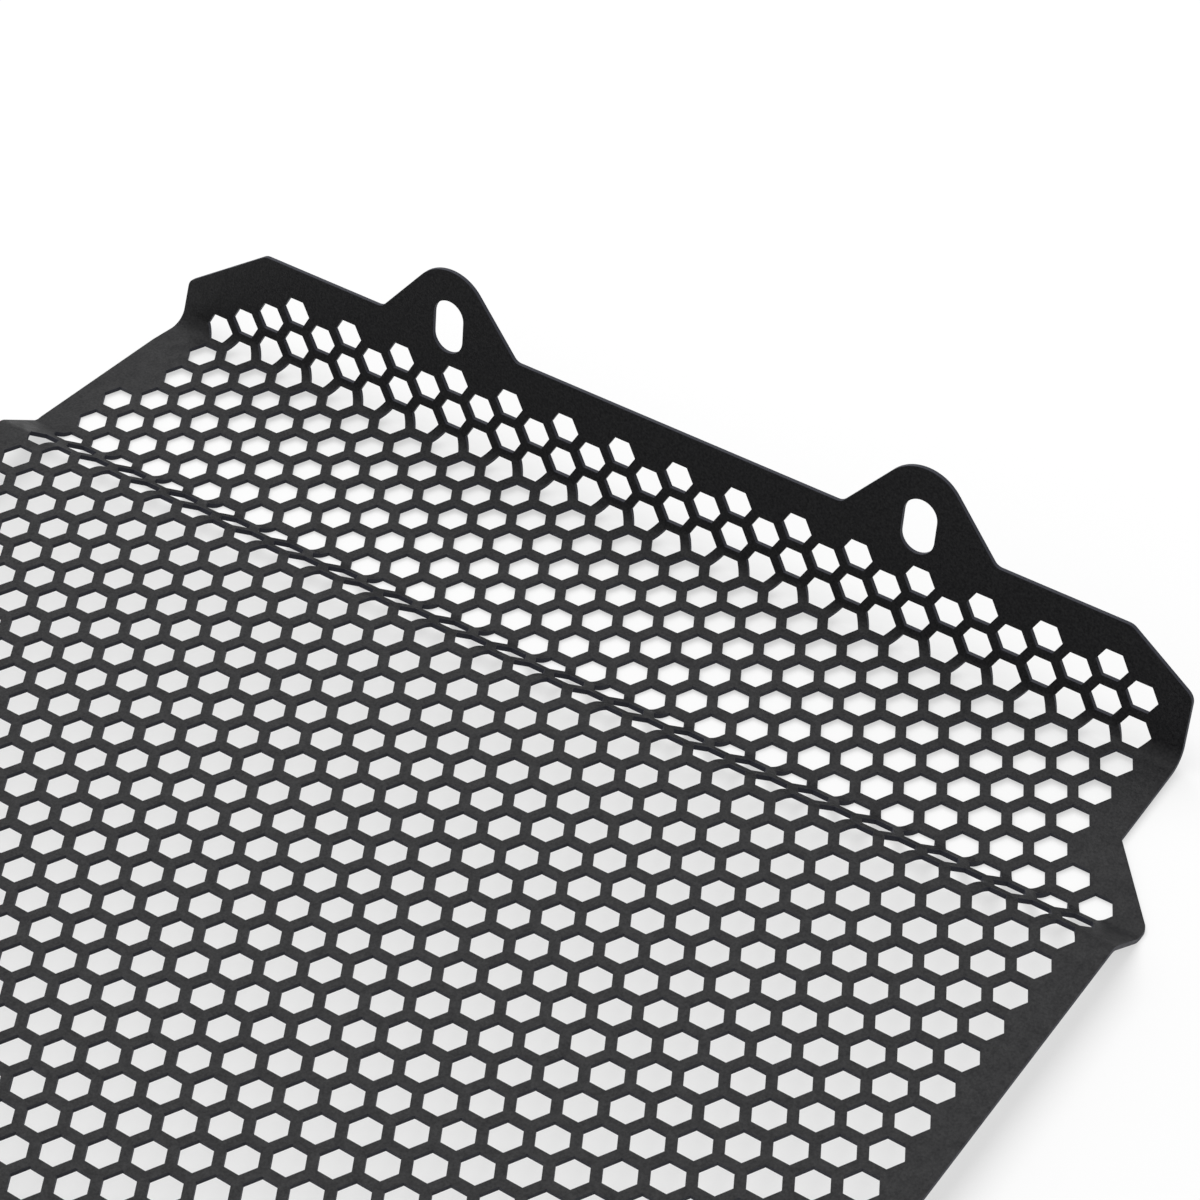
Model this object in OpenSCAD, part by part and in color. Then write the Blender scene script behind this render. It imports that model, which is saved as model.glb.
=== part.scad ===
// Motorcycle radiator guard: one thin sheet, perforated with hexagons, folded and powder
// coated. A step drops each end of the main panel. At the front end the step leads to a seat
// strip, which turns up into a flange whose two tabs carry the fixing slots. At the back end
// it leads to a short plain foot.
// X runs along the folds, Y across them and Z up. The guard lies on its two steps at Z = 0,
// with the origin under the middle of its length and width.

/* [Sheet] */
// Thickness of the coated sheet
sheet_t = 0.8; // [0.6:0.05:1.2]
// Size of the guard along the folds
guard_w = 229.8; // [224:0.2:240]
// Radius of the small outside corners
corner_r = 2.5; // [1:0.5:3]

/* [Hexagon holes] */
// Distance between the centres of neighbouring holes
hole_pitch = 7; // [6.6:0.1:8]
// Size of a hole across its flats
hole_af = 5.3; // [4:0.1:5.6]
// Least distance from a hole's centre to the edge of the sheet
hole_rim = 6.2; // [5:0.1:9]
// X of the column of holes that the pattern is counted from
hole_datum = 9.34; // [6:0.02:12]

/* [Main panel and step] */
// Flat length of the main panel, from bend to bend
panel_l = 124.4; // [96:0.2:140]
// Width of the panel's border along the back step, to the centres of the nearest holes
back_border = 2.65; // [2.65:0.05:30]
// Height of the main panel above the foot of the step
step_drop = 6.3; // [4:0.1:9]
// Slope of the step's web, in degrees
step_angle = 30.853; // [25:0.001:45]
// Radius of the step's two bends, to the middle of the sheet
step_r = 2.8; // [2:0.1:4]
// Flat length of the plain foot at the back end
foot_l = 12; // [6:0.5:30]

/* [Seat strip] */
// Flat length of the seat strip, from the step to the flange's bend
strip_l = 31.65; // [26:0.05:45]
// Rise of the seat strip towards the flange, in degrees
strip_rise = 1.662; // [0:0.001:3]
// Distance from the step at which the left edge starts to slant inwards
slant_y = 5; // [0.5:0.5:6]
// X of the left end of the flange's bend
bend_left = -109.4; // [-112:0.1:-105]
// X of the straight right edge of the seat strip and the flange
strip_right = 102.75; // [99:0.25:106]
// Distance from the step at which the right shoulder leaves the full width
shoulder_y = 1.5; // [1.3:0.1:4]
// Length of the right shoulder, measured across the folds
shoulder_l = 13.9; // [8:0.1:18]

/* [Flange] */
// Angle between the flange and the main panel, in degrees
flange_angle = 77.939; // [60:0.001:88]
// Radius of the flange's bend, to the middle of the sheet
flange_r = 3.85; // [2.5:0.05:6]
// Flat height of the flange above its bend, without the tabs
flange_h = 18.5; // [16:0.1:26]
// X where the left edge meets the left corner cut
left_cut_x = -107.3; // [-109:0.1:-103]
// Height above the bend at which the left corner cut starts
left_cut_h = 6.6; // [3:0.2:10]
// X where the left corner cut meets the top edge
top_left = -89; // [-96:0.5:-80]
// Height above the bend at which the right corner cut starts
right_cut_h = 10; // [3:0.2:12]
// X where the right corner cut meets the top edge
top_right = 90.2; // [80:0.1:95]

/* [Tabs and slots] */
// X of the left tab's centre
left_tab_x = -47.1; // [-60:0.1:-40]
// X of the right tab's centre
right_tab_x = 50.2; // [40:0.1:60]
// Height of a tab above the top edge
tab_rise = 12.7; // [11:0.1:16]
// Radius of a tab's round top
tab_r = 8.25; // [7:0.25:10]
// Half the width of a tab at its foot, before the fillets
tab_foot = 14.9; // [12:0.05:17]
// Radius of the fillets at a tab's foot
tab_fillet = 2; // [1:0.5:4]
// Width of a fixing slot
slot_w = 6.5; // [5.5:0.1:7]
// Length of a fixing slot from end to end
slot_l = 10.4; // [8:0.1:12]
// Height of a slot's centre above the flange's top edge
slot_up = 1.5; // [0:0.1:4]

/* [Hidden] */

side = guard_w / 2;

// Angles turned by the second bend of the step and by the flange's bend
step_turn = step_angle + strip_rise;
flange_turn = flange_angle - strip_rise;

// Flat length of the step's web, from the drop that it shares with its two bends
bend_drop = step_r * (1 - cos(step_angle)) + step_r * (cos(strip_rise) - cos(step_angle));
web_l = (step_drop - bend_drop) / sin(step_angle);

// Height of the middle of the main panel, with the lowest line of each step at zero
panel_z = step_drop + step_r * (1 - cos(strip_rise)) + sheet_t / 2;

// Distances along the middle of the sheet, from the guard's centre line to each bend line
panel_end = panel_l / 2;
rim_start = panel_end - hole_pitch;
web_start = panel_end + arc_length(step_r, step_angle);
web_end = web_start + web_l;
strip_start = web_end + arc_length(step_r, step_turn);
strip_end = strip_start + strip_l;
flange_start = strip_end + arc_length(flange_r, flange_turn);
flange_end = flange_start + flange_h;

// How far the front and the back reach from the middle of the main panel, seen from above
step_reach = panel_end + web_l * cos(step_angle) + step_r * (2 * sin(step_angle) + sin(strip_rise));
fold_reach = strip_l * cos(strip_rise) + flange_r * (sin(flange_angle) - sin(strip_rise));
tab_reach = (flange_h + tab_rise) * cos(flange_angle) + sheet_t / 2 * sin(flange_angle);
front_reach = step_reach + fold_reach + tab_reach;
back_reach = step_reach + foot_l * cos(strip_rise) + sheet_t / 2 * sin(strip_rise);
panel_y = (back_reach - front_reach) / 2;

// Hexagons stand in columns, with a flat towards each fold and a corner along X
column_step = round(hole_pitch * sqrt(3) * 50) / 100;
hole_corners = round(hole_af * 200 / sqrt(3)) / 100;
first_column = ceil((-side - hole_datum) / column_step);
last_column = floor((side - hole_datum) / column_step);
last_row = ceil(flange_end / hole_pitch);

// Front end of the flat pattern without its tabs, from the right edge round to the left one
outline = [
    [side, -2 * hole_pitch],
    [side, strip_start + shoulder_y],
    [strip_right, strip_start + shoulder_y + shoulder_l],
    [strip_right, flange_start + right_cut_h],
    [top_right, flange_end],
    [top_left, flange_end],
    [left_cut_x, flange_start + left_cut_h],
    [bend_left, flange_start],
    [bend_left, strip_end],
    [-side, strip_start + slant_y],
    [-side, -2 * hole_pitch]
];
edges = [for (k = [1:len(outline) - 1]) [outline[k - 1], outline[k]]];

// Outlines of the seat strip, the flange and the foot, each from its own start
strip_outline = concat(
    [[-side, 0], [-side, slant_y], [bend_left, strip_l], [strip_right, strip_l]],
    [[strip_right, shoulder_y + shoulder_l]],
    rounded([strip_right, shoulder_y + shoulder_l], [side, shoulder_y], [side, 0]),
    [[side, 0]]
);
flange_outline = concat(
    [[bend_left, 0]],
    rounded([bend_left, 0], [left_cut_x, left_cut_h], [top_left, flange_h]),
    rounded([left_cut_x, left_cut_h], [top_left, flange_h], [top_right, flange_h]),
    rounded([top_left, flange_h], [top_right, flange_h], [strip_right, right_cut_h]),
    rounded([top_right, flange_h], [strip_right, right_cut_h], [strip_right, 0]),
    [[strip_right, 0]]
);

foot_outline = concat(
    [[-side, 0]],
    rounded([-side, 0], [-side, foot_l], [side, foot_l]),
    rounded([-side, foot_l], [side, foot_l], [side, 0]),
    [[side, 0]]
);

// Where a tab's straight flank leaves its round top and its fillet, from the tab's foot
tab_middle = tab_rise - tab_r;
flank_angle = acos(tab_r / norm([tab_foot, tab_middle])) - atan(tab_middle / tab_foot);
fillet_reach = tab_fillet * tan((90 - flank_angle) / 2);
fillet_x = tab_foot + fillet_reach;

function arc_length(r, turn) = r * turn * PI / 180;
function unit(v) = v / norm(v);

// Points on the arc that rounds the corner at b between the edges to a and c
function rounded(a, b, c, steps = 4) =
    let (
        u = unit(a - b),
        v = unit(c - b),
        half = acos(u * v) / 2,
        middle = b + unit(u + v) * corner_r / sin(half),
        start = b + u * corner_r / tan(half) - middle,
        end = b + v * corner_r / tan(half) - middle,
        sweep = 180 - 2 * half
    )
    [for (k = [0:steps]) middle + blend(start, end, sweep, k / steps)];
function blend(start, end, sweep, f) = (start * sin(sweep * (1 - f)) + end * sin(sweep * f)) / sin(sweep);

// Distance from a point to an edge, and whether the edge passes to the right of it
function along(q, e) = max(0, min(1, (q - e[0]) * (e[1] - e[0]) / pow(norm(e[1] - e[0]), 2)));
function gap(q, e) = norm(q - e[0] - (e[1] - e[0]) * along(q, e));
function spans(q, e) = (e[0][1] > q[1]) != (e[1][1] > q[1]);
function crossing(q, e) = e[0][0] + (e[1][0] - e[0][0]) * (q[1] - e[0][1]) / (e[1][1] - e[0][1]);
function inside(q) = len([for (e = edges) if (spans(q, e) && crossing(q, e) > q[0]) 1]) % 2 == 1;

// Centres of the holes from one distance along the sheet to another, as [x, distance]
function centre(i, j) = [hole_datum + i * column_step, hole_pitch * (j + (i % 2 == 0 ? 0 : 0.5))];
function fits(q) = inside(q) && min([for (e = edges) gap(q, e)]) >= hole_rim;
function holes(from, to) = [
    for (i = [first_column:last_column], j = [0:last_row])
        let (q = centre(i, j))
            if (q[1] >= from && q[1] <= to && fits(q)) q
];

// Point on the middle of the sheet, a distance d past the start of a bend, as [y, z]
function on_bend(d, r, turn) =
    let (
        arc = arc_length(r, abs(turn)),
        a = max(0, min(arc, d)) / r * 180 / PI,
        past = min(0, d) + max(0, d - arc)
    )
    [r * sin(a) + past * cos(a), sign(turn) * (r * (1 - cos(a)) + past * sin(a))];

// Places its children at the end of a bend
module after_bend(r, turn) {
    translate([0, 0, sign(turn) * r])
        rotate([turn, 0, 0])
            translate([0, 0, -sign(turn) * r])
                children();
}

// Places of the bends and flats of an end, each on the middle of the sheet
module at_step() {
    translate([0, panel_end, 0])
        children();
}

module at_web() {
    at_step()
        after_bend(step_r, -step_angle)
            children();
}

module at_foot() {
    at_web()
        translate([0, web_l, 0])
            children();
}

module at_strip() {
    at_foot()
        after_bend(step_r, step_turn)
            children();
}

module at_fold() {
    at_strip()
        translate([0, strip_l, 0])
            children();
}

module at_flange() {
    at_fold()
        after_bend(flange_r, flange_turn)
            children();
}

// Flat stretch of the sheet with the outline that its children draw
module flat() {
    translate([0, 0, -sheet_t / 2])
        linear_extrude(sheet_t)
            children();
}

// Bent stretch of the sheet, turned up or, for a negative angle, down
module bend(r, turn, left, right) {
    translate([left, 0, sign(turn) * r])
        rotate([90, 0, 90])
            linear_extrude(right - left)
                difference() {
                    circle(r + sheet_t / 2);
                    circle(r - sheet_t / 2);
                    translate([-2 * r, -2 * r])
                        square([2 * r, 4 * r]);
                    rotate(turn)
                        translate([0, -2 * r])
                            square([2 * r, 4 * r]);
                }
}

// Hexagon whose waist and far flat lie at given distances from its near flat
module hexagon(waist, span) {
    c = hole_corners / 2;
    polygon([[-c, waist], [-c / 2, 0], [c / 2, 0], [c, waist], [c / 2, span], [-c / 2, span]]);
}

// Hexagons that lie wholly between two distances along the sheet, drawn from a flat's start
module hexagons(from, to, start) {
    for (q = holes(from + hole_af / 2, to - hole_af / 2))
        translate([q[0], q[1] - start - hole_af / 2])
            hexagon(hole_af / 2, hole_af);
}

// Cutters for the holes that a bend runs through, square to the chord across each hole
module bent_hexagons(from, r, turn) {
    to = from + arc_length(r, abs(turn));
    reach = sheet_t + hole_af * hole_af / (8 * r);
    for (q = holes(from - hole_af / 2, to + hole_af / 2)) {
        near = on_bend(q[1] - hole_af / 2 - from, r, turn);
        middle = on_bend(q[1] - from, r, turn);
        far = on_bend(q[1] + hole_af / 2 - from, r, turn);
        translate([q[0], near[0], near[1]])
            rotate([atan2(far[1] - near[1], far[0] - near[0]), 0, 0])
                translate([0, 0, -reach])
                    linear_extrude(2 * reach)
                        hexagon((middle - near) * unit(far - near), norm(far - near));
    }
}

// Main panel, without the rim along the front step
module panel() {
    flat()
        difference() {
            translate([-side, -panel_end])
                square([guard_w, panel_end + rim_start]);
            hexagons(-hole_af, panel_end, 0);
            mirror([0, 1])
                hexagons(hole_pitch / 2 - hole_af, panel_end - back_border + hole_af / 2, 0);
        }
}

// Rim of the main panel, which shares its first holes with the rest of the panel
module panel_rim() {
    flat()
        difference() {
            translate([-side, rim_start])
                square([guard_w, panel_end - rim_start]);
            hexagons(rim_start - hole_af, panel_end, 0);
        }
}

module step() {
    at_step()
        bend(step_r, -step_angle, -side, side);
    at_web()
        flat()
            translate([-side, 0])
                square([guard_w, web_l]);
    at_foot()
        bend(step_r, step_turn, -side, side);
}

module seat_strip() {
    at_strip()
        flat()
            difference() {
                polygon(strip_outline);
                hexagons(strip_start, strip_end, strip_start);
            }
}

// Tab with a round top and straight flanks, standing on the line y = 0
module tab() {
    flank = tab_r * [cos(flank_angle), sin(flank_angle)] + [0, tab_middle];
    foot = [tab_foot, 0] + fillet_reach * [-sin(flank_angle), cos(flank_angle)];
    difference() {
        union() {
            polygon([
                [fillet_x, -tab_fillet], [fillet_x, tab_fillet], foot, flank,
                [-flank[0], flank[1]], [-foot[0], foot[1]], [-fillet_x, tab_fillet], [-fillet_x, -tab_fillet]
            ]);
            translate([0, tab_middle])
                circle(tab_r);
        }
        for (x = [-fillet_x, fillet_x])
            translate([x, tab_fillet])
                circle(tab_fillet);
    }
}

// Fixing slot with round ends
module slot() {
    run = slot_l - slot_w;
    for (y = [-run / 2, run / 2])
        translate([0, y])
            circle(slot_w / 2);
    square([slot_w, run], center = true);
}

module flange() {
    at_fold()
        bend(flange_r, flange_turn, bend_left, strip_right);
    at_flange()
        flat()
            difference() {
                union() {
                    polygon(flange_outline);
                    for (x = [left_tab_x, right_tab_x])
                        translate([x, flange_h])
                            tab();
                }
                for (x = [left_tab_x, right_tab_x])
                    translate([x, flange_h + slot_up])
                        slot();
                hexagons(flange_start, flange_end, flange_start);
            }
}

// Cutters for the holes of the step, and for those that the flange's bend runs through
module step_holes() {
    at_step()
        bent_hexagons(panel_end, step_r, -step_angle);
    at_web()
        translate([0, 0, -sheet_t])
            linear_extrude(2 * sheet_t)
                hexagons(web_start, web_end, web_start);
    at_foot()
        bent_hexagons(web_end, step_r, step_turn);
}

module fold_holes() {
    at_fold()
        bent_hexagons(strip_end, flange_r, flange_turn);
}

module front_end() {
    difference() {
        union() {
            panel_rim();
            step();
            seat_strip();
            flange();
        }
        step_holes();
        fold_holes();
    }
}

module back_end() {
    mirror([0, 1, 0]) {
        step();
        at_strip()
            flat()
                polygon(foot_outline);
    }
}

module guard_sheet() {
    color([0.15, 0.15, 0.16])
        translate([0, panel_y, panel_z]) {
            panel();
            front_end();
            back_end();
        }
}

guard_sheet();
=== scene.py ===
"""Motorcycle radiator guard: one perforated sheet, folded and powder coated.

The sheet is worked out as a flat pattern, with its outline, fixing slots and hexagon holes,
and is then folded over its bends. All sizes are in millimetres until a mesh is made.
"""
import math

import bpy
import numpy as np
from mathutils import Matrix
from mathutils.geometry import delaunay_2d_cdt


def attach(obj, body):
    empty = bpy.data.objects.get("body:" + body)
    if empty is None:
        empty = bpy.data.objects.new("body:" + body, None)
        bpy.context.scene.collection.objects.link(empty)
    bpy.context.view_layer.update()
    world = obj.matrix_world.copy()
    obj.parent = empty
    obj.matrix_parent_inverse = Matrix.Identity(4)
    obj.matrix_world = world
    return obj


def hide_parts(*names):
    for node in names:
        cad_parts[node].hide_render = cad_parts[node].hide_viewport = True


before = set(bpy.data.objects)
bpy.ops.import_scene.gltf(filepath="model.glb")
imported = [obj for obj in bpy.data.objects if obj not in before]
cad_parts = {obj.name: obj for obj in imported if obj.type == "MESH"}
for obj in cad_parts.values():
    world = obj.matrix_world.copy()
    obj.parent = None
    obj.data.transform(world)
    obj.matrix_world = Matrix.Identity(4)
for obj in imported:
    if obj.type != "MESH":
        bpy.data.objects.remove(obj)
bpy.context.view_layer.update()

MM = 0.001

# Sheet
SHEET_T = 0.8
HALF_W = 114.9
CORNER_R = 2.5
EDGE = 0.03          # width of the bevel along every cut

# Hexagon holes, in columns along the folds
PITCH = 7.0
COLUMN = 6.06
HOLE_AF = 5.2        # across flats: the coat narrows the 5.3 mm cut
HOLE_RIM = 6.2       # least distance from a hole's centre to the edge of the sheet
HOLE_DATUM = 9.34    # X of the column that the pattern is counted from
COLUMNS = (-21, 18)
ROWS = (-12, 20)
BACK_BORDER = 2.65   # nearest hole's centre to the back step's bend

# Bends and flats, outwards from the middle of the main panel
PANEL_HALF = 62.2    # flat distance to the step
STEP_END = 76.0384   # flat distance to the end of the step
STEP_REACH = 74.3746 # the same end, seen from above
STEP_DROP = 6.3
STEP_ANGLE = math.radians(38)
STEP_R = 2.8
STRIP_L = 31.65
STRIP_RISE = math.radians(1.662)
FOOT_L = 12.0
FLANGE_ANGLE = math.radians(77.939)
FLANGE_R = 3.85
FLANGE_H = 18.5
BEYOND = 60.0        # straight run past the last bend, longer than the tabs need
FAR = 100.0          # flat distance past the step that is folded without stretch
BEND_STEP = 5        # degrees between the lines across a bend
SHARP = 24           # degrees from which an edge is shaded sharp
BATCH = 4000         # triangles worked on at a time

# Outline of the seat strip and the flange, the left edge by flat distance from the flange's bend
LEFT_EDGE = ((-108.6, 0.0), (-109.6, -5.1), (-110.6, -9.2), (-114.9, -36.5))
STRIP_RIGHT = 102.75
SHOULDER_Y = 1.5
SHOULDER_L = 13.9
LEFT_CUT = (-107.3, 6.6)
TOP_LEFT = -89.0
RIGHT_CUT_H = 10.0
TOP_RIGHT = 90.2

# Tabs and slots
TAB_X = (-47.1, 50.2)
TAB_RISE = 12.7
TAB_R = 8.25
TAB_FOOT = 14.9
TAB_FILLET = 2.0
SLOT_W = 6.5
SLOT_L = 10.4
SLOT_UP = 1.5

# Stretches of the folded sheet as (length, turn), by the neutral line of the sheet
BEND_DROP = STEP_R * (1 + math.cos(STRIP_RISE) - 2 * math.cos(STEP_ANGLE))
WEB_L = (STEP_DROP - BEND_DROP) / math.sin(STEP_ANGLE)
BEND_REACH = STEP_R * (2 * math.sin(STEP_ANGLE) + math.sin(STRIP_RISE))
STRETCHES = (
    (STEP_REACH - WEB_L * math.cos(STEP_ANGLE) - BEND_REACH, 0.0),
    (STEP_R * STEP_ANGLE, -STEP_ANGLE),
    (WEB_L, 0.0),
    (STEP_R * (STEP_ANGLE + STRIP_RISE), STEP_ANGLE + STRIP_RISE),
    (STRIP_L, 0.0),
    (FLANGE_R * (FLANGE_ANGLE - STRIP_RISE), FLANGE_ANGLE - STRIP_RISE),
    (BEYOND, 0.0),
)
ENDS = np.cumsum([length for length, _ in STRETCHES])

# The press draws the step's metal out, so each folded distance has its flat one
FLAT_MARKS = (0.0, PANEL_HALF, STEP_END, STEP_END + FAR)
FOLDED_MARKS = (0.0, PANEL_HALF, ENDS[3], ENDS[3] + FAR)
STRIP_START = STEP_END
STRIP_END = STRIP_START + STRIP_L
FLANGE_START = STRIP_END + FLANGE_R * (FLANGE_ANGLE - STRIP_RISE)
FLANGE_END = FLANGE_START + FLANGE_H
BACK_END = -(STRIP_START + FOOT_L)
PANEL_Y = -15.097
PANEL_Z = STEP_DROP + STEP_R * (1 - math.cos(STRIP_RISE)) + SHEET_T / 2

# Camera, fitted to the holes in the photograph, in pixels of the image and millimetres
IMAGE_PX = 1200
LENS_PX = 3425.2
SHIFT_PX = (41.64, 103.73)
CAMERA_TURN = (2.302998632, 0.709649842, -0.371419607)
CAMERA_PLACE = (262.41, -254.18, 414.54)

# Light: strength of the world, whiteness of the paper, and the softbox in metres and watts
FILL = 0.54
PAPER_WHITE = 0.58
FLOOR_REACH = 6.0
SOFTBOX_PLACE = (-0.5, 0.5, 1.5)
SOFTBOX_SIZE = 1.4
SOFTBOX_POWER = 21.5

# Colours of the coat: its darkest and lightest tone, and a lighter, greyer tone on its cut edges
# that is a painted highlight
COAT_DARK = (0.006, 0.006, 0.007, 1)
COAT_LIGHT = (0.021, 0.021, 0.022, 1)
COAT_EDGE_HIGHLIGHT = (0.029, 0.030, 0.039, 1)


# Flat pattern

def arc(centre, radius, start, end, steps):
    """Points on a circle: centre plus radius times the cosine and sine of each angle in degrees."""
    a = np.radians(np.linspace(start, end, steps + 1))
    return centre + radius * np.stack([np.cos(a), np.sin(a)], axis=1)


def rounded(a, b, c, radius=CORNER_R, steps=6):
    """Corner b between a and c as an arc that touches both edges at radius over tan(half angle)."""
    a, b, c = (np.asarray(q, float) for q in (a, b, c))
    u, v = (a - b) / np.linalg.norm(a - b), (c - b) / np.linalg.norm(c - b)
    half = math.acos(u @ v) / 2
    middle = b + (u + v) / np.linalg.norm(u + v) * radius / math.sin(half)
    first, last = (b + e * radius / math.tan(half) - middle for e in (u, v))
    sweep = math.pi - 2 * half
    f = np.linspace(0, 1, steps + 1)[:, None]
    return middle + (first * np.sin(sweep * (1 - f)) + last * np.sin(sweep * f)) / math.sin(sweep)


def tab_outline(x):
    """Tab from its right foot over its round top to its left foot: fillet arc, flank, top arc."""
    middle = TAB_RISE - TAB_R
    tangent = math.acos(TAB_R / math.hypot(TAB_FOOT, middle))
    flank = math.degrees(tangent - math.atan(middle / TAB_FOOT))
    foot = TAB_FOOT + TAB_FILLET * math.tan(math.radians(90 - flank) / 2)
    fillet = arc(np.array([foot, TAB_FILLET]), TAB_FILLET, -90, -180 + flank, 8)
    top = arc(np.array([0.0, middle]), TAB_R, flank, 90, 16)
    right = np.concatenate([fillet, top])
    left = right[::-1][1:] * [-1, 1]
    return np.concatenate([right, left]) + [x, FLANGE_END]


def sheet_outline():
    """Closed outline of the flat pattern, anticlockwise from the back right corner."""
    back_left, back_right = (-HALF_W, BACK_END), (HALF_W, BACK_END)
    shoulder = (HALF_W, STRIP_START + SHOULDER_Y)
    inner = (STRIP_RIGHT, STRIP_START + SHOULDER_Y + SHOULDER_L)
    right_cut = (STRIP_RIGHT, FLANGE_START + RIGHT_CUT_H)
    top_right, top_left = (TOP_RIGHT, FLANGE_END), (TOP_LEFT, FLANGE_END)
    left_cut = (LEFT_CUT[0], FLANGE_START + LEFT_CUT[1])
    left_edge = np.array(LEFT_EDGE) + [0, FLANGE_START]
    return np.concatenate([
        rounded(back_left, back_right, shoulder),
        rounded(back_right, shoulder, inner),
        [inner],
        rounded(inner, right_cut, top_right),
        rounded(right_cut, top_right, top_left),
        tab_outline(TAB_X[1]),
        tab_outline(TAB_X[0]),
        rounded(top_right, top_left, left_cut),
        rounded(top_left, left_cut, left_edge[0]),
        left_edge,
        rounded((-HALF_W, 0), back_left, back_right),
    ])


def slot_outline(x):
    """Slot as two half circles joined by straight flanks, clockwise."""
    run = (SLOT_L - SLOT_W) / 2
    loop = np.concatenate([
        arc(np.array([0.0, run]), SLOT_W / 2, 180, 0, 20),
        arc(np.array([0.0, -run]), SLOT_W / 2, 0, -180, 20),
    ])
    return loop + [x, FLANGE_END + SLOT_UP]


def distance_to(points, loop):
    """Least distance from each point to the edges of a closed loop."""
    a, b = loop, np.roll(loop, -1, axis=0)
    e = b - a
    q = points[:, None] - a[None]
    f = np.clip((q * e).sum(2) / (e * e).sum(1), 0, 1)
    return np.linalg.norm(q - f[..., None] * e, axis=2).min(1)


def within(points, loop):
    """True where a ray from the point to the right crosses the loop an odd number of times."""
    a, b = loop, np.roll(loop, -1, axis=0)
    x, y = points[:, None, 0], points[:, None, 1]
    spans = (a[:, 1] > y) != (b[:, 1] > y)
    rise = np.where(b[:, 1] == a[:, 1], 1.0, b[:, 1] - a[:, 1])
    crossing = a[:, 0] + (b[:, 0] - a[:, 0]) * (y - a[:, 1]) / rise
    return ((spans & (crossing > x)).sum(1) % 2) == 1


def hole_centres():
    """Lattice points whose distance to the edge without tabs and rounding is at least the rim."""
    plain = np.array([
        (HALF_W, BACK_END), (HALF_W, STRIP_START + SHOULDER_Y),
        (STRIP_RIGHT, STRIP_START + SHOULDER_Y + SHOULDER_L),
        (STRIP_RIGHT, FLANGE_START + RIGHT_CUT_H), (TOP_RIGHT, FLANGE_END), (TOP_LEFT, FLANGE_END),
        (LEFT_CUT[0], FLANGE_START + LEFT_CUT[1]),
        *((x, FLANGE_START + v) for x, v in LEFT_EDGE), (-HALF_W, BACK_END),
    ])
    i, j = np.meshgrid(np.arange(*COLUMNS), np.arange(*ROWS), indexing="ij")
    points = np.stack([HOLE_DATUM + COLUMN * i, PITCH * (j + 0.5 * (i % 2))], axis=-1)
    points = points.reshape(-1, 2)
    keep = within(points, plain) & (distance_to(points, plain) >= HOLE_RIM)
    keep &= points[:, 1] >= -(PANEL_HALF - BACK_BORDER)
    return points[keep]


def inset(loop, gap):
    """Moves a closed loop to its left by gap, each corner along the mitre of its two edges."""
    d = np.roll(loop, -1, axis=0) - loop
    d /= np.linalg.norm(d, axis=1, keepdims=True)
    left = np.stack([-d[:, 1], d[:, 0]], axis=1)
    before = np.roll(left, 1, axis=0)
    return loop + gap * (left + before) / (1 + (left * before).sum(1, keepdims=True))


def bend_lines():
    """Distances at which the sheet gets a line across it: about every five degrees of each bend."""
    lines = []
    for (length, turn), end in zip(STRETCHES, ENDS):
        if turn:
            steps = math.ceil(abs(math.degrees(turn)) / BEND_STEP)
            lines.append(end - length + length * np.linspace(0, 1, steps + 1))
    front = np.interp(np.concatenate(lines), FOLDED_MARKS, FLAT_MARKS)
    back = -front[front <= STRIP_START + 1e-9]
    return np.concatenate([back, front])


def flat_sheet():
    """Points and anticlockwise triangles of one face, short of every cut by the bevel."""
    outline = sheet_outline()
    centres = hole_centres()
    corners = np.radians(np.arange(0, -360, -60))
    ring = HOLE_AF / math.sqrt(3) * np.stack([np.cos(corners), np.sin(corners)], axis=1)
    cell = inset(ring, EDGE)
    holes = centres[:, None] + cell
    slots = [inset(slot_outline(x), EDGE) for x in TAB_X]
    rim = inset(outline, EDGE)
    loops = [rim, *slots, *holes]
    points, edges, start = [], [], 0
    for loop in loops:
        k = np.arange(len(loop))
        points.append(loop)
        edges.append(np.stack([k, (k + 1) % len(loop)], axis=1) + start)
        start += len(loop)
    lines = bend_lines()
    reach = HALF_W + 2
    across = np.stack([
        np.stack([np.full(len(lines), -reach), lines], axis=1),
        np.stack([np.full(len(lines), reach), lines], axis=1),
    ], axis=1).reshape(-1, 2)
    points.append(across)
    edges.append(np.arange(len(across)).reshape(-1, 2) + start)
    points, edges = np.concatenate(points), np.concatenate(edges)
    made = delaunay_2d_cdt(points.tolist(), edges.tolist(), [], 0, 1e-5, False)
    flat = np.array([tuple(v) for v in made[0]])
    tris = np.array(made[2])
    middle = flat[tris].mean(1)
    keep = within(middle, rim)
    for slot in slots:
        keep &= ~within(middle, slot)
    # A triangle lies in a hole where its middle is within the hexagon of the nearest lattice point
    normals = np.radians([30, 90, 150])
    sides = np.stack([np.cos(normals), np.sin(normals)], axis=1)
    bound = HOLE_AF / 2 + EDGE
    for first in range(0, len(middle), BATCH):
        part = middle[first:first + BATCH]
        q = part[:, None] - centres[None]
        near = q[np.arange(len(part)), (q * q).sum(2).argmin(1)]
        keep[first:first + BATCH] &= ~(np.abs(near @ sides.T).max(1) < bound)
    tris = tris[keep]
    a, b, c = flat[tris[:, 0]], flat[tris[:, 1]], flat[tris[:, 2]]
    turn = (b[:, 0] - a[:, 0]) * (c[:, 1] - a[:, 1]) - (b[:, 1] - a[:, 1]) * (c[:, 0] - a[:, 0])
    tris = tris[np.abs(turn) > 1e-9]
    turn = turn[np.abs(turn) > 1e-9]
    tris[turn < 0] = tris[turn < 0][:, ::-1]
    used, tris = np.unique(tris, return_inverse=True)
    return flat[used], tris.reshape(-1, 3)


# Folding

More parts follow.
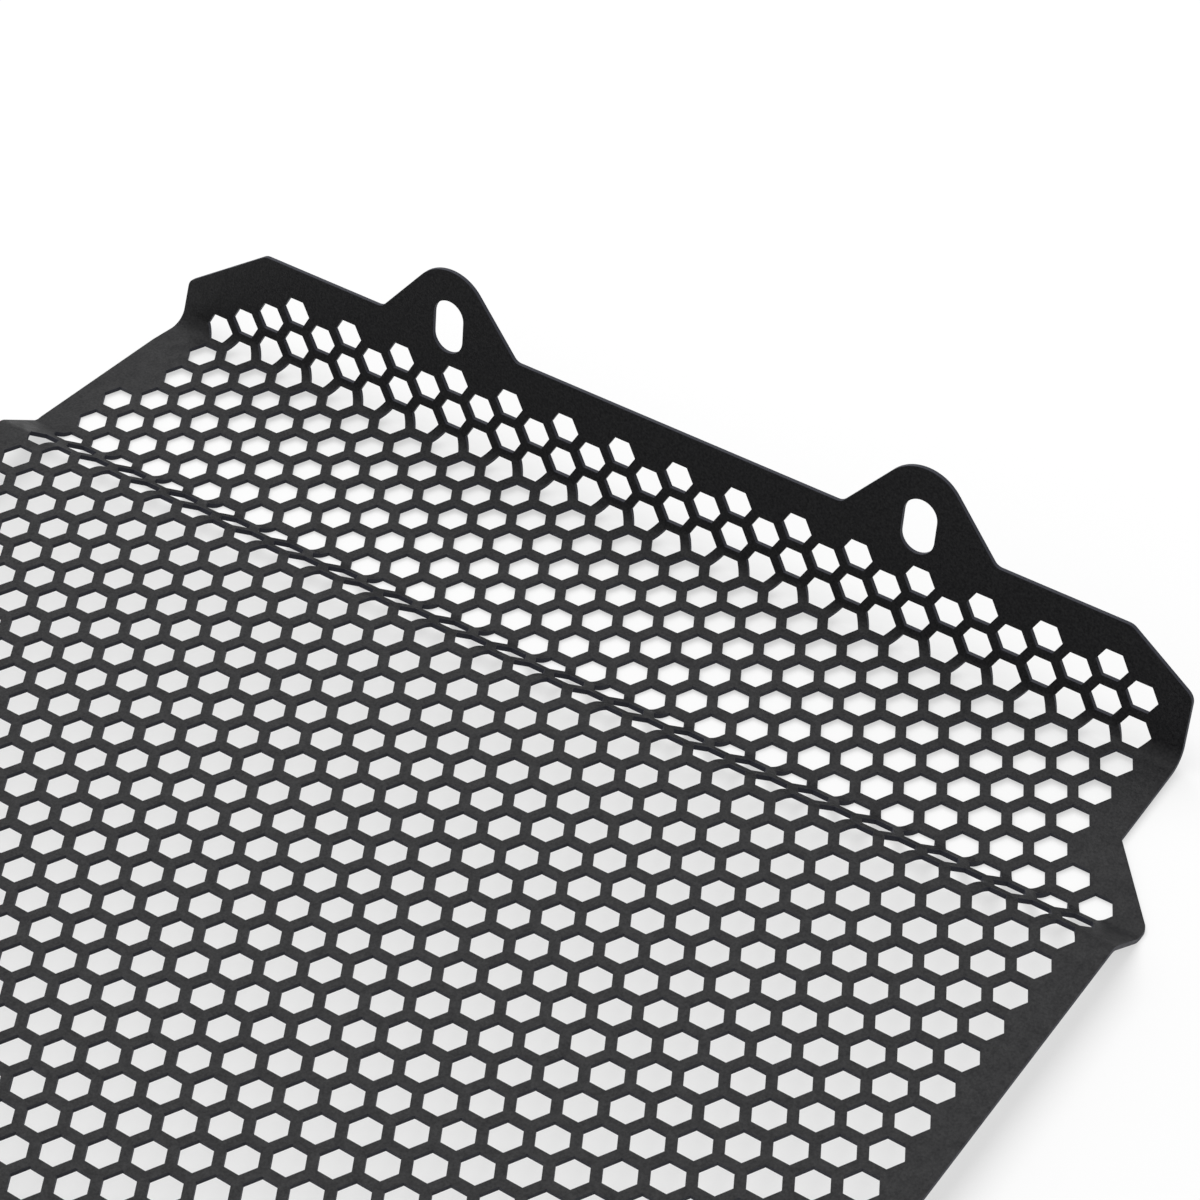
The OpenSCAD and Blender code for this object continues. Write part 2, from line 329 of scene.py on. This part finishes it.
def fold(v):
    """Flat distance to y, z and angle: straight runs and arcs chained end to end."""
    d = np.interp(np.abs(v), FLAT_MARKS, FOLDED_MARKS)
    y, z, angle = np.zeros_like(d), np.zeros_like(d), np.zeros_like(d)
    start, heading = 0.0, 0.0
    for length, turn in STRETCHES:
        run = np.clip(d - start, 0, length)
        if turn:
            k = turn / length
            y += (np.sin(heading + k * run) - math.sin(heading)) / k
            z -= (np.cos(heading + k * run) - math.cos(heading)) / k
            angle += k * run
        else:
            y += run * math.cos(heading)
            z += run * math.sin(heading)
        start, heading = start + length, heading + turn
    side = np.where(v < 0, -1.0, 1.0)
    return side * y, z, side * angle


def folded(flat, depth):
    """Folds flat points [x, v] that lie depth above the middle of the sheet."""
    y, z, angle = fold(flat[:, 1])
    y = y - depth * np.sin(angle) + PANEL_Y
    z = z + depth * np.cos(angle) + PANEL_Z
    return np.stack([flat[:, 0], y, z], axis=1) * MM


def make_sheet(name):
    """Two faces, and a wall with a narrow bevel above and below it along every cut."""
    flat, tris = flat_sheet()
    count = len(flat)
    pairs = np.concatenate([tris[:, [0, 1]], tris[:, [1, 2]], tris[:, [2, 0]]])
    keys = pairs[:, 0] * count + pairs[:, 1]
    rim = pairs[~np.isin(keys, pairs[:, 1] * count + pairs[:, 0])]
    after = np.zeros(count, int)
    before = np.zeros(count, int)
    after[rim[:, 0]] = rim[:, 1]
    before[rim[:, 1]] = rim[:, 0]
    at = np.unique(rim)
    d1 = flat[after[at]] - flat[at]
    d0 = flat[at] - flat[before[at]]
    d1 /= np.linalg.norm(d1, axis=1, keepdims=True)
    d0 /= np.linalg.norm(d0, axis=1, keepdims=True)
    right0 = np.stack([d0[:, 1], -d0[:, 0]], axis=1)
    right1 = np.stack([d1[:, 1], -d1[:, 0]], axis=1)
    cut = flat[at] + EDGE * (right0 + right1) / (1 + (right0 * right1).sum(1, keepdims=True))
    half = SHEET_T / 2
    points = np.concatenate([
        folded(flat, half), folded(flat, -half), folded(cut, half - EDGE), folded(cut, EDGE - half),
    ])
    place = np.zeros(count, int)
    place[at] = np.arange(len(at))
    a, b = rim[:, 0], rim[:, 1]
    top = np.stack([a, b], axis=1)
    upper = np.stack([place[a], place[b]], axis=1) + 2 * count
    lower = upper + len(at)
    base = top + count
    walls = [
        np.stack([low[:, 0], low[:, 1], high[:, 1], high[:, 0]], axis=1)
        for low, high in ((upper, top), (lower, upper), (base, lower))
    ]
    faces = [*tris.tolist(), *(tris[:, ::-1] + count).tolist(), *np.concatenate(walls).tolist()]
    mesh = bpy.data.meshes.new(name)
    mesh.from_pydata(points.tolist(), [], faces)
    mesh.polygons.foreach_set("use_smooth", np.ones(len(faces), bool))
    mesh.set_sharp_from_angle(angle=math.radians(SHARP))
    # Walls and bevels are marked for the lighter coat colour, a painted highlight along every cut
    painted_edge_highlight = mesh.attributes.new("painted_edge_highlight", "FLOAT", "FACE")
    painted_edge_highlight.data.foreach_set("value", (np.arange(len(faces)) >= 2 * len(tris)).astype(float))
    mesh.validate()
    piece = bpy.data.objects.new(name, mesh)
    bpy.context.scene.collection.objects.link(piece)
    return piece


# Materials

def powder_coat():
    """Black powder coat: satin, pebbled and slightly uneven, with a painted highlight: a little
    greyer and lighter on the cut edges.
    """
    material = bpy.data.materials.new("powder_coat")
    material.use_nodes = True
    tree = material.node_tree
    shader = tree.nodes["Principled BSDF"]
    shader.inputs["Specular IOR Level"].default_value = 0.15
    where = tree.nodes.new("ShaderNodeTexCoord")

    def noise(scale, detail, low, high):
        """Noise on the object's own coordinates, spread from low to high."""
        made = tree.nodes.new("ShaderNodeTexNoise")
        made.inputs["Scale"].default_value = scale
        made.inputs["Detail"].default_value = detail
        spread = tree.nodes.new("ShaderNodeMapRange")
        spread.inputs["From Min"].default_value = 0.3
        spread.inputs["From Max"].default_value = 0.7
        spread.inputs["To Min"].default_value = low
        spread.inputs["To Max"].default_value = high
        tree.links.new(where.outputs["Object"], made.inputs["Vector"])
        tree.links.new(made.outputs["Fac"], spread.inputs["Value"])
        return spread.outputs["Result"]

    tone = tree.nodes.new("ShaderNodeMix")
    tone.data_type = "RGBA"
    tone.inputs["A"].default_value = COAT_DARK
    tone.inputs["B"].default_value = COAT_LIGHT
    tree.links.new(noise(2200, 2, 0.0, 1.0), tone.inputs["Factor"])
    # Cut edges take the lighter colour: a painted highlight where the edges catch the light, not a
    # different coat
    edge_highlight_mask = tree.nodes.new("ShaderNodeAttribute")
    edge_highlight_mask.attribute_name = "painted_edge_highlight"
    coat = tree.nodes.new("ShaderNodeMix")
    coat.data_type = "RGBA"
    coat.inputs["B"].default_value = COAT_EDGE_HIGHLIGHT
    tree.links.new(edge_highlight_mask.outputs["Fac"], coat.inputs["Factor"])
    tree.links.new(tone.outputs["Result"], coat.inputs["A"])
    tree.links.new(coat.outputs["Result"], shader.inputs["Base Color"])
    tree.links.new(noise(420, 3, 0.46, 0.6), shader.inputs["Roughness"])
    pebbles = tree.nodes.new("ShaderNodeBump")
    pebbles.inputs["Strength"].default_value = 0.5
    pebbles.inputs["Distance"].default_value = 0.00006
    tree.links.new(noise(2600, 2, 0.0, 1.0), pebbles.inputs["Height"])
    tree.links.new(pebbles.outputs["Normal"], shader.inputs["Normal"])
    return material


def studio_paper():
    """White paper floor: part lit, so that it keeps the guard's shadow, and part plain white."""
    material = bpy.data.materials.new("studio_paper")
    material.use_nodes = True
    tree = material.node_tree
    tree.nodes.clear()
    lit = tree.nodes.new("ShaderNodeBsdfDiffuse")
    lit.inputs["Color"].default_value = (0.9, 0.9, 0.9, 1)
    white = tree.nodes.new("ShaderNodeEmission")
    white.inputs["Color"].default_value = (1, 1, 1, 1)
    white.inputs["Strength"].default_value = 1
    paper = tree.nodes.new("ShaderNodeMixShader")
    seen = tree.nodes.new("ShaderNodeMixShader")
    paper.inputs["Fac"].default_value = PAPER_WHITE
    path = tree.nodes.new("ShaderNodeLightPath")
    out = tree.nodes.new("ShaderNodeOutputMaterial")
    rays = any_ray(tree, path)
    tree.links.new(lit.outputs[0], paper.inputs[1])
    tree.links.new(white.outputs[0], paper.inputs[2])
    tree.links.new(rays, seen.inputs["Fac"])
    tree.links.new(lit.outputs[0], seen.inputs[1])
    tree.links.new(paper.outputs[0], seen.inputs[2])
    tree.links.new(seen.outputs[0], out.inputs["Surface"])
    return material


def any_ray(tree, path):
    """One where the ray comes from the camera, a gloss or a clear surface: the largest of three."""
    first = tree.nodes.new("ShaderNodeMath")
    second = tree.nodes.new("ShaderNodeMath")
    first.operation = second.operation = "MAXIMUM"
    tree.links.new(path.outputs["Is Camera Ray"], first.inputs[0])
    tree.links.new(path.outputs["Is Glossy Ray"], first.inputs[1])
    tree.links.new(first.outputs[0], second.inputs[0])
    tree.links.new(path.outputs["Is Transmission Ray"], second.inputs[1])
    return second.outputs[0]


# Studio

def make_floor():
    """Flat square of paper that the guard lies on."""
    reach = FLOOR_REACH
    mesh = bpy.data.meshes.new("floor")
    corners = [(-reach, -reach, 0), (reach, -reach, 0), (reach, reach, 0), (-reach, reach, 0)]
    mesh.from_pydata(corners, [], [(0, 1, 2, 3)])
    floor = bpy.data.objects.new("floor", mesh)
    bpy.context.scene.collection.objects.link(floor)
    mesh.materials.append(studio_paper())


def make_world():
    """White backdrop, and a softer even light on everything."""
    world = bpy.data.worlds.new("studio")
    bpy.context.scene.world = world
    world.use_nodes = True
    tree = world.node_tree
    tree.nodes.clear()
    backdrop = tree.nodes.new("ShaderNodeBackground")
    backdrop.inputs["Color"].default_value = (1, 1, 1, 1)
    backdrop.inputs["Strength"].default_value = 1
    fill = tree.nodes.new("ShaderNodeBackground")
    fill.inputs["Color"].default_value = (1, 1, 1, 1)
    fill.inputs["Strength"].default_value = FILL
    mix = tree.nodes.new("ShaderNodeMixShader")
    out = tree.nodes.new("ShaderNodeOutputWorld")
    path = tree.nodes.new("ShaderNodeLightPath")
    tree.links.new(any_ray(tree, path), mix.inputs["Fac"])
    tree.links.new(fill.outputs[0], mix.inputs[1])
    tree.links.new(backdrop.outputs[0], mix.inputs[2])
    tree.links.new(mix.outputs[0], out.inputs["Surface"])


def look_along(right, up, back, place):
    """Matrix whose columns are the three axes of a camera or lamp, and its place."""
    m = Matrix.Identity(4)
    for k, axis in enumerate((right, up, back, place)):
        for r in range(3):
            m[r][k] = float(axis[r])
    return m


def make_softbox(name, place, target, size, power):
    """Square lamp at place that faces target."""
    place, target = np.array(place, float), np.array(target, float)
    back = place - target
    back /= np.linalg.norm(back)
    right = np.cross((0, 1, 0), back)
    right /= np.linalg.norm(right)
    lamp = bpy.data.lights.new(name, "AREA")
    lamp.shape = "SQUARE"
    lamp.size = size
    lamp.energy = power
    softbox = bpy.data.objects.new(name, lamp)
    softbox.matrix_world = look_along(right, np.cross(back, right), back, place)
    bpy.context.scene.collection.objects.link(softbox)


def make_camera():
    """Long lens from above the back right, with the photograph's framing in its shift."""
    turn = np.array(CAMERA_TURN)
    angle = np.linalg.norm(turn)
    x, y, z = turn / angle
    cross = np.array([[0, -z, y], [z, 0, -x], [-y, x, 0]])
    axes = np.eye(3) + math.sin(angle) * cross + (1 - math.cos(angle)) * cross @ cross
    lens = bpy.data.cameras.new("camera")
    lens.sensor_width = 36
    lens.lens = LENS_PX / IMAGE_PX * lens.sensor_width
    lens.shift_x = SHIFT_PX[0] / IMAGE_PX
    lens.shift_y = SHIFT_PX[1] / IMAGE_PX
    lens.clip_start = 0.01
    lens.clip_end = 50
    camera = bpy.data.objects.new("camera", lens)
    place = np.array(CAMERA_PLACE) * MM
    camera.matrix_world = look_along(axes[0], -axes[1], -axes[2], place)
    bpy.context.scene.collection.objects.link(camera)
    bpy.context.scene.camera = camera


make_camera()
make_world()
make_floor()
make_softbox("overhead_softbox", SOFTBOX_PLACE, (0, 0, 0), SOFTBOX_SIZE, SOFTBOX_POWER)

guard = make_sheet("folded_guard")
guard.data.materials.append(powder_coat())
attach(guard, "root")
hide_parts("guard_sheet")

bpy.context.scene.view_settings.view_transform = "Standard"
